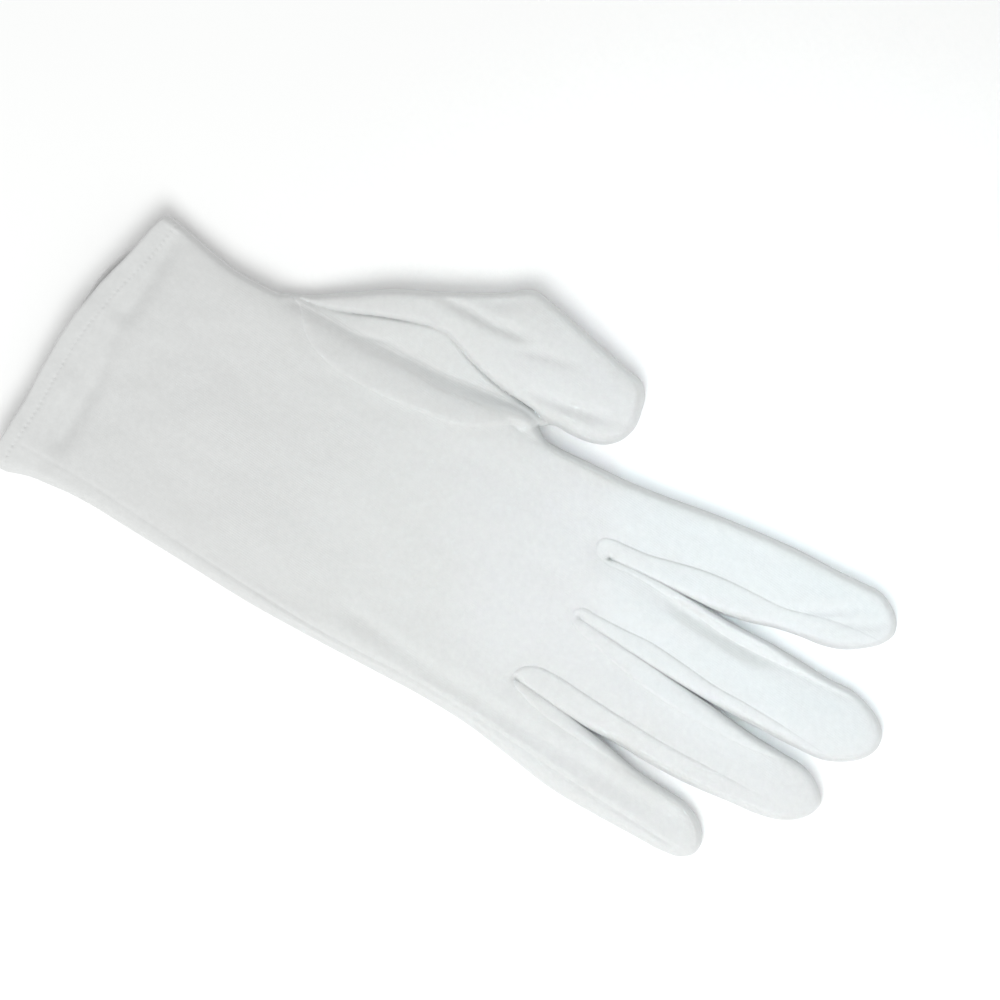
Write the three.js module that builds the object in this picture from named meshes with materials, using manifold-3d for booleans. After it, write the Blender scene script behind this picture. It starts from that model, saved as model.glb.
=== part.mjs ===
// A white cotton dress glove for a left hand, lying flat with its palm up and its thumb bent forward.
// Millimetres. +X runs from the wrist opening to the fingertips, +Y towards the thumb, +Z up off the table.
// The hand, fingers and thumb are flat hollow sleeves that are joined into one skin, and the skin is then cut
// along its seams into the sewn pieces. The trank is also parted round the glove's edge, into its flat back and
// what lies above: the palm, and the narrow strip between the outer seam and the edge.
import * as THREE from "three";
import { mergeVertices } from "three/addons/utils/BufferGeometryUtils.js";
import Module from "manifold-3d";

const wasm = await Module();
wasm.setup();

// Driving dimensions
const CLOTH = 1.1; // thickness of the cotton
const SEAM_GAP = 0.3; // clearance along every seam
const FOLD_HEIGHT = 2.4; // height of a folded edge above the table
const BACK_HEIGHT = 1.05; // height of the trank's flat back
const HEM_LAYERS = 2; // the hem is the cloth turned in once
const HEM_WIDTH = 5.8;
const LAYER_SPLIT = 4.6; // height between the upper and the under cloth
const REACH = 80; // how far the cutting shapes reach past the glove

// The hand, from the wrist opening to the knuckles: its edge on the little finger's and on the thumb's side,
// and the height of the upper cloth.
const HAND = {
  crown: 9,
  across: [0, 0.01, 0.035, 0.075, 0.13, 0.25, 0.38, 0.5, 0.62, 0.75, 0.87, 0.925, 0.965, 0.99, 1],
  under: [0.975, 0.025],
  rows: [
    { along: -9, low: -43.8, high: 41.3, height: 12.2 },
    { along: 0, low: -43.8, high: 41.2, height: 11.9 },
    { along: 5, low: -43.4, high: 41.2, height: 11.0 },
    { along: 12, low: -40.9, high: 40.4, height: 9.8 },
    { along: 25, low: -38.6, high: 39.3, height: 10.2 },
    { along: 45, low: -37.8, high: 40.8, height: 10.5 },
    { along: 60, low: -37.2, high: 42.0, height: 10.7 },
    { along: 75, low: -36.7, high: 43.2, height: 10.8 },
    { along: 90, low: -35.8, high: 45.0, height: 10.8 },
    { along: 105, low: -34.3, high: 47.2, height: 10.7 },
    { along: 120, low: -32.7, high: 49.2, height: 10.4 },
    { along: 137, low: -31.1, high: 49.9, height: 10.1 },
    { along: 146, low: -30.8, high: 50.6, height: 9.9 },
  ],
};
// The line on which the knuckle end of the hand is closed, between the fingers.
const KNUCKLE_LINE = [
  { across: -31, along: 152.5 },
  { across: -12.5, along: 155.2 },
  { across: 0, along: 157.5 },
  { across: 11.9, along: 159.7 },
  { across: 30.6, along: 157.2 },
  { across: 53, along: 153 },
];
// The wrist opening swells backwards between its two corners.
const OPENING_LINE = [
  { across: -50, along: 0.6 },
  { across: -43.6, along: -0.8 },
  { across: -34, along: -3.1 },
  { across: -24, along: -3.1 },
  { across: 2, along: -5.2 },
  { across: 16, along: -5.4 },
  { across: 30, along: -2.4 },
  { across: 41.2, along: 0.2 },
  { across: 50, along: 0.4 },
];

// The fingers: their edges in plan from inside the hand to where the round tip begins, and the tip's end.
const FINGER_SECTION = {
  crown: 6.5,
  across: [0, 0.035, 0.13, 0.27, 0.5, 0.73, 0.87, 0.965, 1],
  under: [0.91, 0.09],
};
const FINGERS = {
  little: {
    height: 9.0,
    rows: [
      { along: 138, low: -29.4, high: -14.5 },
      { along: 157, low: -30.9, high: -12.9 },
      { along: 170, low: -32.0, high: -13.4 },
      { along: 185, low: -32.3, high: -13.9 },
      { along: 200, low: -31.2, high: -14.7 },
      { along: 212, low: -30.1, high: -14.5 },
    ],
    tip: { along: 224.2, across: -23.4 },
  },
  ring: {
    height: 9.0,
    rows: [
      { along: 138, low: -10.5, high: 10.0 },
      { along: 157, low: -12.1, high: 11.5 },
      { along: 171, low: -12.3, high: 11.8 },
      { along: 186, low: -11.8, high: 11.8 },
      { along: 201, low: -11.1, high: 11.6 },
      { along: 216, low: -9.4, high: 11.8 },
      { along: 231, low: -6.5, high: 12.3 },
    ],
    tip: { along: 245.8, across: 5.6 },
  },
  middle: {
    height: 9.2,
    rows: [
      { along: 140, low: 13.5, high: 28.5 },
      { along: 160, low: 12.1, high: 30.7 },
      { along: 174, low: 12.4, high: 32.7 },
      { along: 188, low: 12.4, high: 33.8 },
      { along: 203, low: 12.6, high: 35.2 },
      { along: 219, low: 14.0, high: 36.6 },
      { along: 235, low: 16.1, high: 37.6 },
    ],
    tip: { along: 250.2, across: 28.0 },
  },
  index: {
    height: 9.2,
    rows: [
      { along: 138, low: 31.5, high: 48.4 },
      { along: 157, low: 31.0, high: 52.8 },
      { along: 171, low: 32.9, high: 56.3 },
      { along: 185, low: 34.4, high: 59.4 },
      { along: 199, low: 37.0, high: 61.9 },
      { along: 212, low: 41.5, high: 63.4 },
      { along: 225, low: 45.0, high: 65.1 },
    ],
    tip: { along: 236.3, across: 56.2 },
  },
};

// The thumb. Its root is a fold that overhangs the cloth between it and the palm, and its outer edge runs out
// to a corner, where the thumb bends forward.
const THUMB = {
  rows: [
    { along: 46, low: 38.5, high: 43.8, height: 6.0 },
    { along: 52, low: 43.6, high: 49.3, height: 8.4 },
    { along: 61, low: 48.0, high: 56.3, height: 10.0 },
    { along: 71, low: 52.8, high: 63.4, height: 11.0 },
    { along: 82, low: 57.2, high: 69.8, height: 11.4 },
    { along: 91, low: 55.8, high: 75.8, height: 11.4 },
    { along: 98, low: 54.0, high: 81.2, height: 11.2 },
    { along: 108, low: 53.1, high: 81.0, height: 11.0 },
    { along: 121, low: 52.9, high: 79.0, height: 10.6 },
    { along: 132, low: 53.8, high: 77.5, height: 10.2 },
  ],
  tip: { along: 143.4, across: 66.0 },
};
// The low cloth between palm and thumb, from under the palm's edge to under the thumb's.
const THUMB_ROOT = {
  crown: 2,
  rows: [
    { along: 48, low: 33.5, high: 44.0, height: 6.6 },
    { along: 58, low: 34.5, high: 51.0, height: 7.4 },
    { along: 72, low: 35.5, high: 58.5, height: 7.5 },
    { along: 86, low: 36.5, high: 64.0, height: 7.4 },
    { along: 100, low: 38.0, high: 64.0, height: 7.2 },
    { along: 112, low: 40.0, high: 62.0, height: 6.9 },
    { along: 119, low: 41.0, high: 60.0, height: 6.4 },
  ],
};

// The thumb's seam on the palm, as it lies in plan.
const THUMB_SEAM = [
  { along: 30, across: 41.5 },
  { along: 41, across: 43.4 },
  { along: 45.5, across: 41.0 },
  { along: 49.5, across: 36.8 },
  { along: 54, across: 33.8 },
  { along: 60, across: 32.0 },
  { along: 67, across: 31.6 },
  { along: 76, across: 32.4 },
  { along: 86, across: 34.1 },
  { along: 96, across: 36.4 },
  { along: 104, across: 39.4 },
  { along: 111, across: 44.2 },
  { along: 118, across: 50.4 },
  { along: 128, across: 51.8 },
];
// The same on the back, along the fold of the palm.
const PALM_FOLD = [
  { along: 30, across: 42.0 },
  { along: 46, across: 41.8 },
  { along: 60, across: 43.3 },
  { along: 75, across: 44.6 },
  { along: 90, across: 46.4 },
  { along: 105, across: 48.5 },
  { along: 118, across: 50.9 },
  { along: 128, across: 51.8 },
];
// A line that runs on from either of them, clear round the whole thumb.
const ROUND_THUMB = [
  { along: 140, across: 53.2 },
  { along: 150, across: 58 },
  { along: 150, across: 96 },
  { along: 30, across: 96 },
];

// The side strips between the fingers: each has its seam on one finger, round the crotch and along the next
// finger. A clear line, past the fingertips, closes it.
const SIDE_STRIPS = [
  {
    name: "fourchette_ring_little",
    seam: [
      { along: 215, across: -13.2 },
      { along: 200, across: -15.5 },
      { along: 185, across: -16.3 },
      { along: 170, across: -16.6 },
      { along: 160, across: -16.6 },
      { along: 154, across: -16.7 },
      { along: 151.3, across: -15.2 },
      { along: 151, across: -11 },
      { along: 153, across: -7.8 },
      { along: 165, across: -4.9 },
      { along: 180, across: -4.7 },
      { along: 200, across: -4.0 },
      { along: 216, across: -2.4 },
      { along: 234, across: -0.6 },
      { along: 248, across: 0.4 },
    ],
    clear: [
      { along: 252, across: -12 },
      { along: 225, across: -12.8 },
    ],
  },
  {
    name: "fourchette_middle_ring",
    seam: [
      { along: 250, across: 14.5 },
      { along: 236, across: 12.4 },
      { along: 224, across: 8.8 },
      { along: 212, across: 6.9 },
      { along: 198, across: 5.9 },
      { along: 182, across: 6.1 },
      { along: 168, across: 7.5 },
      { along: 157.5, across: 12.3 },
      { along: 168, across: 15.8 },
      { along: 182, across: 17.5 },
      { along: 200, across: 17.5 },
      { along: 220, across: 18.4 },
      { along: 236, across: 19.0 },
      { along: 254, across: 19.2 },
    ],
    clear: [],
  },
  {
    name: "fourchette_index_middle",
    seam: [
      { along: 254, across: 36.6 },
      { along: 238, across: 35.6 },
      { along: 222, across: 33.6 },
      { along: 208, across: 31.4 },
      { along: 195, across: 30.5 },
      { along: 180, across: 31.0 },
      { along: 166, across: 30.0 },
      { along: 158, across: 29.1 },
      { along: 152.6, across: 32.3 },
      { along: 158, across: 35.9 },
      { along: 168, across: 38.1 },
      { along: 180, across: 42.0 },
      { along: 192, across: 44.5 },
      { along: 205, across: 46.2 },
      { along: 218, across: 50.4 },
      { along: 230, across: 52.8 },
      { along: 240, across: 53.2 },
    ],
    clear: [],
  },
];
// The seam that closes the glove along the little finger's side, in the upper cloth.
const OUTER_SEAM = [
  { along: -10, across: -35.5 },
  { along: 20, across: -33.7 },
  { along: 50, across: -33.2 },
  { along: 80, across: -32.5 },
  { along: 105, across: -31.2 },
  { along: 130, across: -28.6 },
  { along: 150, across: -27.6 },
  { along: 175, across: -27.5 },
  { along: 200, across: -27.2 },
  { along: 217, across: -26.6 },
];
// A line that runs on from it, clear round the fingertips and the thumb.
const ROUND_PALM = [
  { along: 232, across: -24 },
  { along: 270, across: -24 },
  { along: 270, across: 96 },
  { along: -20, across: 96 },
  { along: -20, across: -35.5 },
];
// A frame clear round the whole glove.
const ROUND_GLOVE = [
  { along: -20, across: -60 },
  { along: 270, across: -60 },
  { along: 270, across: 96 },
  { along: -20, across: 96 },
];

// Folds of the upper cloth: a line in plan, half its width and its depth.
const CREASES = [
  { from: [112, -22], to: [216, -21], width: 3.2, depth: 1.1 },
  { from: [11, -30], to: [11, 34], width: 3.4, depth: 0.9 },
  { from: [80, 67], to: [122, 69.5], width: 2.6, depth: 1.4 },
  { from: [182, 28.5], to: [202, 28.6], width: 2.4, depth: 0.9 },
  { from: [206, 52.5], to: [222, 58.5], width: 2.4, depth: 1.0 },
];
const CREASE_FADE = 6; // how far past its ends a crease fades out

const TIP_TURNS = [0.3, 0.55, 0.76, 0.91, 0.99]; // rows of a round tip, as shares of its length
const TIP_POWER = 2.3; // a round tip is a superellipse of this power
const KNUCKLE_TURNS = [0.5, 0.85, 1]; // rows of the knuckle end
const LEAST_SPAN = 3; // the narrowest inside of a tip
const CURVE_STEPS = 26; // straight stretches of a seam

const { clamp, lerp } = THREE.MathUtils;

// A value between the rows of a table, read at one place along or across the glove.
function between(rows, key, value, at) {
  const found = rows.findIndex((row) => row[key] >= at);
  const i = found === -1 ? rows.length - 1 : Math.max(found, 1);
  const share = clamp((at - rows[i - 1][key]) / (rows[i][key] - rows[i - 1][key]), 0, 1);
  return lerp(rows[i - 1][value], rows[i][value], share);
}

// How far the creases lower the upper cloth at a place in plan.
function creaseDepth(x, y) {
  return CREASES.reduce((sum, crease) => {
    const [x1, y1] = crease.from;
    const [x2, y2] = crease.to;
    const length = Math.hypot(x2 - x1, y2 - y1);
    const run = ((x - x1) * (x2 - x1) + (y - y1) * (y2 - y1)) / length;
    const side = ((x - x1) * (y2 - y1) - (y - y1) * (x2 - x1)) / length;
    const past = Math.max(-run, run - length, 0) / CREASE_FADE;
    return sum + crease.depth * Math.exp(-((side / crease.width) ** 2) - past ** 2);
  }, 0);
}

// The rise of the cloth from a folded edge: 0 at the edge, 1 past the given run.
function roundOver(distance, run) {
  const left = clamp(1 - distance / run, 0, 1);
  return Math.sqrt(1 - left * left);
}

// One ring of points round a flat sleeve, over the upper cloth and back under it. The inside of the cloth is
// the same ring, inset by its thickness.
function ring(row, section, inset) {
  const low = row.low + inset;
  const span = row.high - inset - low;
  const top = row.height - inset;
  const fold = Math.min(FOLD_HEIGHT, (top + inset) / 2);
  const alongAt = row.alongAt ?? (() => row.along);
  const upper = section.across.map((share) => {
    const y = low + span * share;
    const x = alongAt(y);
    const rise = roundOver(Math.min(share, 1 - share) * span, Math.min(section.crown, span / 2));
    return [x, y, fold + (top - fold - creaseDepth(x, y)) * rise];
  });
  const under = section.under.map((share) => {
    const y = low + span * share;
    return [alongAt(y), y, inset];
  });
  return [...upper, ...under];
}

// A closed mesh as a solid for cutting and joining.
function solid(geometry) {
  geometry.deleteAttribute("normal");
  geometry.deleteAttribute("uv");
  const merged = mergeVertices(geometry);
  const vertProperties = new Float32Array(merged.attributes.position.array);
  const triVerts = new Uint32Array(merged.index.array);
  return new wasm.Manifold(new wasm.Mesh({ numProp: 3, vertProperties, triVerts }));
}

// A sleeve through its rings, closed at both ends.
function sleeve(rings) {
  const size = rings[0].length;
  const last = (rings.length - 1) * size;
  const index = [];
  for (let start = 0; start < last; start += size) {
    for (let i = 0; i < size; i++) {
      const a = start + i;
      const b = start + ((i + 1) % size);
      index.push(a, a + size, b, b, a + size, b + size);
    }
  }
  const outline = rings[0].map(([, y, z]) => new THREE.Vector2(y, z));
  for (const [a, b, c] of THREE.ShapeUtils.triangulateShape(outline, [])) {
    index.push(a, c, b);
    index.push(last + a, last + b, last + c);
  }
  const geometry = new THREE.BufferGeometry();
  geometry.setAttribute("position", new THREE.Float32BufferAttribute(rings.flat(2), 3));
  geometry.setIndex(index);
  return solid(geometry);
}

// A finger's rows, with those of its round tip.
function rowsWithTip({ rows, tip, height }, inset) {
  const whole = rows.map((row) => ({ height, ...row }));
  const last = whole.at(-1);
  const closing = TIP_TURNS.map((turn) => {
    const keep = (1 - turn ** TIP_POWER) ** (1 / TIP_POWER);
    return {
      along: lerp(last.along, tip.along - inset, turn),
      low: lerp(tip.across, last.low, keep),
      high: lerp(tip.across, last.high, keep),
      height: lerp(FOLD_HEIGHT + CLOTH, last.height, keep),
    };
  });
  return [...whole, ...closing];
}

// A finger or the thumb, or its inside.
function finger(form, inset) {
  const opens = ({ low, high }) => inset === 0 || high - low - 2 * inset > LEAST_SPAN;
  const rows = rowsWithTip(form, inset).filter(opens);
  return sleeve(rows.map((row) => ring(row, FINGER_SECTION, inset)));
}

// The hand, with its knuckle end closed between the fingers.
function hand(inset) {
  const last = HAND.rows.at(-1);
  const closing = KNUCKLE_TURNS.map((turn) => ({
    alongAt: (y) => lerp(last.along, between(KNUCKLE_LINE, "across", "along", y) - inset, turn),
    low: last.low + turn,
    high: last.high + turn,
    height: lerp(FOLD_HEIGHT + CLOTH, last.height, Math.sqrt(1 - turn * turn)),
  }));
  return sleeve([...HAND.rows, ...closing].map((row) => ring(row, HAND, inset)));
}

function thumbRoot(inset) {
  const section = { ...FINGER_SECTION, crown: THUMB_ROOT.crown };
  return sleeve(THUMB_ROOT.rows.map((row) => ring(row, section, inset)));
}

function joined(inset) {
  const parts = [...Object.values(FINGERS), THUMB].map((form) => finger(form, inset));
  return parts.reduce((sum, part) => sum.add(part), hand(inset).add(thumbRoot(inset)));
}

// A closed outline in plan, moved outwards by a clearance.
function widened(points, clearance) {
  const side = THREE.ShapeUtils.area(points) > 0 ? clearance : -clearance;
  return points.map((point, i) => {
    const before = points.at(i - 1);
    const after = points[(i + 1) % points.length];
    const run = after.clone().sub(before).normalize();
    return point.clone().add(new THREE.Vector2(run.y, -run.x).multiplyScalar(side));
  });
}

// An upright prism over an outline in plan.
function prism(points, bottom) {
  const depth = REACH - bottom;
  const geometry = new THREE.ExtrudeGeometry(new THREE.Shape(points), { depth, bevelEnabled: false });
  geometry.translate(0, 0, bottom);
  return solid(geometry);
}

const inPlan = (rows) => rows.map(({ along, across }) => new THREE.Vector2(along, across));
const curved = (rows) => new THREE.SplineCurve(inPlan(rows)).getPoints(CURVE_STEPS);

// Everything behind a line that follows the wrist opening, some way inside it.
function wristSide(offset) {
  const line = OPENING_LINE.map(({ across, along }) => new THREE.Vector2(along + offset, across));
  return prism([...line, new THREE.Vector2(-REACH, REACH), new THREE.Vector2(-REACH, -REACH)], -REACH);
}

// Everything on the thumb's side: over the palm only the upper cloth, up to the curved seam, and past the
// palm's fold the under cloth too.
function thumbSide(clearance) {
  const upper = widened([...curved(THUMB_SEAM), ...inPlan(ROUND_THUMB)], clearance);
  const under = widened([...curved(PALM_FOLD), ...inPlan(ROUND_THUMB)], clearance);
  return prism(upper, LAYER_SPLIT - clearance).add(prism(under, -REACH));
}

function stripSide({ seam, clear }, clearance) {
  return prism(widened([...curved(seam), ...inPlan(clear)], clearance), -REACH);
}

// Everything on the palm's side of the outer seam.
function palmSide(clearance) {
  return prism(widened([...curved(OUTER_SEAM), ...inPlan(ROUND_PALM)], clearance), -REACH);
}

// Everything above the trank's back.
function aboveBack(clearance) {
  return prism(inPlan(ROUND_GLOVE), BACK_HEIGHT + clearance);
}

// The skin, and the pieces that it is cut into
const outside = joined(0).subtract(wristSide(0));
const skin = outside.subtract(joined(CLOTH));
const hem = outside.subtract(hand(HEM_LAYERS * CLOTH)).intersect(wristSide(HEM_WIDTH));
const body = skin.subtract(wristSide(HEM_WIDTH + SEAM_GAP));
const beside = body.subtract(thumbSide(SEAM_GAP));
const trank = SIDE_STRIPS.reduce((rest, strip) => rest.subtract(stripSide(strip, SEAM_GAP)), beside);
const upper = trank.intersect(aboveBack(SEAM_GAP));
const strips = SIDE_STRIPS.map((strip) => [strip.name, beside.intersect(stripSide(strip, 0)), 0xe3e5e4]);

const pieces = [
  ["trank_palm", upper.intersect(palmSide(0)), 0xe9ebea],
  ["trank_side", upper.subtract(palmSide(SEAM_GAP)), 0xe9ebea],
  ["trank_back", trank.subtract(aboveBack(0)), 0xe9ebea],
  ["thumb", body.intersect(thumbSide(0)), 0xe6e8e7],
  ...strips,
  ["cuff_hem", hem, 0xe7e9e8],
];

const glove = new THREE.Group();
for (const [name, form, colour] of pieces) {
  const { vertProperties, triVerts } = form.getMesh();
  const geometry = new THREE.BufferGeometry();
  geometry.setAttribute("position", new THREE.BufferAttribute(new Float32Array(vertProperties), 3));
  geometry.setIndex(new THREE.BufferAttribute(new Uint32Array(triVerts), 1));
  geometry.computeVertexNormals();
  const material = new THREE.MeshStandardMaterial({ color: colour, roughness: 0.9, metalness: 0 });
  const piece = new THREE.Mesh(geometry, material);
  piece.name = name;
  glove.add(piece);
}

// The origin is the middle of the glove's underside.
const box = new THREE.Box3().setFromObject(glove);
glove.position.set(-(box.min.x + box.max.x) / 2, -(box.min.y + box.max.y) / 2, -box.min.z);
glove.updateMatrixWorld(true);

export default glove;
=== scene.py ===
"""A white cotton dress glove for a left hand, lying palm up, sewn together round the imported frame.

Plans are in millimetres, with x along the glove from the wrist opening and y towards the thumb. Blender's
objects are in metres, in the frame's own axes.
"""
import math

import bpy
import numpy as np
from mathutils import Matrix, Vector, noise
from mathutils.geometry import delaunay_2d_cdt


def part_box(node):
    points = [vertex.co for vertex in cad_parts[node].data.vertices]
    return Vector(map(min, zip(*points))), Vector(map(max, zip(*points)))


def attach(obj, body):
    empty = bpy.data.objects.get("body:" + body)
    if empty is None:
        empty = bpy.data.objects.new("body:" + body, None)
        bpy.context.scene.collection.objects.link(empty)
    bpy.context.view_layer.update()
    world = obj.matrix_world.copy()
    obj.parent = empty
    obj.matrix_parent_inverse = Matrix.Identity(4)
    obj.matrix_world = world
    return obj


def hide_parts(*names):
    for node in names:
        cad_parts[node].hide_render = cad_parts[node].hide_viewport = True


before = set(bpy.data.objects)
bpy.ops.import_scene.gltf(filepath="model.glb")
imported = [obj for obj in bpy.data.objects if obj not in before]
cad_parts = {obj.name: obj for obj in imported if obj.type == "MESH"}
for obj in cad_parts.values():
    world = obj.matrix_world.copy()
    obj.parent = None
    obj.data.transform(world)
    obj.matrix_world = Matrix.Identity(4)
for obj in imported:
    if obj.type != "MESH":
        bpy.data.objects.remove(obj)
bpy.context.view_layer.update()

bl_info = {
    "name": "Cotton dress glove",
    "version": (1, 0, 0),
    "blender": (4, 5, 0),
    "location": "3D View > Sidebar > Glove",
    "description": "Sews a white cotton dress glove and lays it out in soft studio light",
    "category": "Add Mesh",
}

MM = 0.001
BODY = "root"
TINY = 1e-6  # keeps a division clear of zero

# The plan of the glove. Its outline is a chain of stretches, each smooth, that meet in the crotches.
WRIST_CORNER = (-5.4, -43.8)  # the frame's cuff hem starts here in the plan
LITTLE_SIDE = [
    (3.2, -43.9), (9.5, -41.4), (15, -40.3), (20, -39.3), (27, -38.5), (40, -38.0), (60, -37.2),
    (80, -36.5), (100, -34.8), (120, -32.7), (136, -31.1), (150, -30.6), (165, -31.5), (180, -32.5),
    (195, -31.6), (208, -30.4), (216, -29.6), (221, -28.1), (223.7, -25.2), (223.9, -22),
    (222.1, -18.8), (218.8, -16.3), (214.2, -14.7), (207, -14.6), (199, -14.7), (185, -13.3),
    (172, -12.66), (161, -12.41), (154.2, -12.3),
]
RING_SIDE = [
    (154.2, -12.3), (161, -12.34), (171, -12.55), (179, -12.6), (188, -11.7), (200, -11.2), (212, -9.9),
    (224, -7.6), (233, -5.9), (239, -3.6), (243.2, -0.2), (245.2, 3.4), (245.3, 6.9), (243.0, 9.2),
    (239.8, 11.2), (235.6, 12.4), (229, 12.2), (218, 11.8), (205, 12.1), (188, 11.9), (171, 11.8),
    (159.5, 11.8),
]
MIDDLE_SIDE = [
    (159.5, 11.8), (171, 11.89), (188, 12.05), (200, 12.4), (211, 13.2), (220, 14.2), (231, 15.4),
    (239.5, 17.0), (245.0, 20.2), (248.6, 24.0), (250.0, 28.2), (249.0, 32.0), (245.8, 34.9),
    (241, 36.8), (235.5, 37.7), (228, 36.8), (219, 36.5), (209, 36.0), (198, 34.8), (186, 33.8),
    (174, 32.86), (165, 31.7), (157.5, 30.4),
]
INDEX_SIDE = [
    (157.5, 30.4), (165, 31.78), (174, 32.98), (185, 34.2), (193, 35.5), (200, 37.3), (207.5, 40.2),
    (214, 42.0), (221, 43.5), (226.5, 45.8), (231.2, 49.4), (235, 53.8), (236.1, 57.2), (234.7, 60.6),
    (231.3, 63.4), (226.4, 65.1), (220, 64.4), (211, 63.2), (200, 62.0), (188, 59.9), (175, 57.2),
    (162, 54.0), (150, 51.4), (138, 49.7), (129, 48.4), (123.8, 48.2), (120.6, 50.0),
]
THUMB_SIDE = [
    (120.6, 50.0), (123.2, 52.5), (129, 53.2), (134.5, 54.3), (139.2, 56.6), (142.2, 60.6),
    (143.1, 65.0), (142.0, 70.0), (140.3, 74.2), (137.6, 76.7), (132, 77.5), (121, 79.0), (111, 80.4),
    (104, 81.2), (98.8, 81.5), (95.8, 80.0), (92.4, 76.8), (88, 73.6), (81.5, 69.4), (75, 65.3),
    (69, 62.0), (63, 58.1), (57, 53.2), (51.5, 49.0), (46.5, 45.0), (42.6, 42.9), (39.3, 40.7),
]
WRIST_SIDE = [(39.3, 40.7), (32, 39.7), (25, 39.2), (18, 39.7), (11, 40.5), (4.4, 41.3)]
# The folded edge of the hem, read across the glove, in the upper and in the under cloth, and how far behind
# it the hem is stitched.
HEM_CORNERS = ((0.2, -44.4), (0.3, 41.6))
HEM_EDGE = [
    (-44.4, 0.2), (-43.2, -1.2), (-41, -2.3), (-38, -2.9), (-31, -3.1), (-24, -3.3), (-17, -4.1),
    (-10, -4.7), (-3, -5.2), (4, -5.2), (9, -4.6), (15, -4.1), (20, -3.2), (25, -2.2), (30, -1.5),
    (36, -0.8), (41.6, 0.3),
]
UNDER_HEM_EDGE = [
    (-44.4, 0.2), (-43.2, -1.1), (-41, -2.1), (-38, -2.6), (-31, -2.8), (-24, -3.1), (-17, -3.9),
    (-10, -4.6), (-3, -5.2), (4, -5.5), (9, -5.7), (15, -5.8), (20, -5.2), (25, -3.9), (30, -1.9),
    (36, -0.8), (41.6, 0.3),
]
HEM_WIDTH = [(-44.4, 3.6), (-35, 4.1), (0, 4.9), (34, 5.2), (41.6, 4.3)]

# Seams and folds, as lines in the plan.
THUMB_SEAM = [
    (39.3, 40.7), (43.2, 41.5), (45.9, 40.6), (48.2, 38.3), (51, 35.6), (55, 33.4), (60, 32.1),
    (66, 31.6), (73, 32.0), (82, 33.3), (91, 35.0), (99, 36.9), (105, 39.6), (110, 43.6), (115, 46.9),
    (120.6, 50.0),
]
BACK_THUMB_SEAM = [
    (39.3, 40.7), (46, 41.6), (60, 43.0), (75, 44.4), (90, 46.0), (105, 47.8), (120.6, 50.0),
]
VALLEY = [
    (44.0, 41.4), (52, 42.4), (60, 43.1), (70, 44.5), (80, 45.9), (90, 47.3), (100, 49.5), (108, 51.2),
    (113, 52.0), (116, 52.0), (118.6, 51.3), (120.6, 50.0),
]
LIP = [
    (43.5, 42.6), (49, 43.6), (55, 45.6), (60, 47.9), (65, 50.4), (70, 52.7), (75, 54.9), (80, 56.6),
    (84.5, 57.3), (88, 56.6), (94, 54.9), (100, 53.8), (108, 53.2), (117, 53.1), (123.2, 52.5),
]
OUTER_SEAM = [
    (2.6, -35.2), (12, -34.3), (22, -33.6), (50, -33.2), (80, -32.6), (100, -31.7), (115, -30.2),
    (128, -28.7), (142, -27.7), (160, -27.4), (175, -27.5), (190, -27.3), (205, -27.0), (220.5, -26.8),
]
RING_LITTLE_SEAM = [
    (214.2, -14.7), (205, -15.6), (195, -16.0), (185, -16.3), (175, -16.6), (166, -16.3),
    (159.5, -15.3), (155, -13.7), (153.1, -11.4), (154.1, -8.6), (157.5, -6.1), (163, -5.1),
    (172, -4.9), (186, -4.6), (200, -4.0), (215, -2.5), (230, -1.2), (243.2, -0.2),
]
MIDDLE_RING_SEAM = [
    (235.6, 12.4), (229, 10.3), (220, 8.2), (210, 6.8), (200, 5.9), (190, 5.7), (180, 6.3), (170, 7.3),
    (162.5, 8.4), (158.3, 10.2), (157.3, 12.6), (158.9, 14.7), (163.5, 15.3), (171, 16.1), (180, 17.4),
    (191, 17.5), (202, 17.3), (212, 18.1), (224, 18.6), (236, 18.7), (243.1, 18.7),
]
INDEX_MIDDLE_SEAM = [
    (242.8, 36.3), (234, 35.4), (225, 34.0), (215, 32.5), (205, 31.0), (195, 30.3), (185, 30.8),
    (175, 30.7), (165, 30.1), (158.5, 29.0), (154.2, 29.4), (152.2, 31.6), (152.6, 33.9), (155, 35.3),
    (160, 36.3), (166, 37.5), (173, 39.8), (181, 42.3), (189, 44.0), (198, 45.2), (206, 46.3),
    (213, 48.8), (221, 51.4), (228, 52.9), (235.0, 53.8),
]
FAR_ROUND_THUMB = [(126, 50.4), (133, 51.6), (144, 54), (152, 58), (152, 96), (30, 96), (30, 42)]


# Settings that a user would change


class GloveClothSettings(bpy.types.PropertyGroup):
    """How the cotton and its seams are made"""

    thickness: bpy.props.FloatProperty(
        name="Cloth thickness", default=0.0009, unit="LENGTH",
        description="Thickness of the cotton",
    )
    grain: bpy.props.FloatProperty(
        name="Mesh size", default=0.0013, unit="LENGTH",
        description="Spacing of the vertices over flat cloth",
    )
    fold: bpy.props.FloatProperty(
        name="Fold height", default=0.0022, unit="LENGTH",
        description="Height of a folded edge above the table",
    )
    seam: bpy.props.FloatProperty(
        name="Seam depth", default=0.00032, unit="LENGTH",
        description="How deep a seam pulls the cloth in",
    )
    ripple: bpy.props.FloatProperty(
        name="Ripple", default=0.0008, unit="LENGTH",
        description="Height of the soft unevenness of the cloth",
    )
    stitch: bpy.props.FloatProperty(
        name="Stitch length", default=0.0016, unit="LENGTH",
        description="Pitch of the stitches along the hem",
    )


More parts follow.
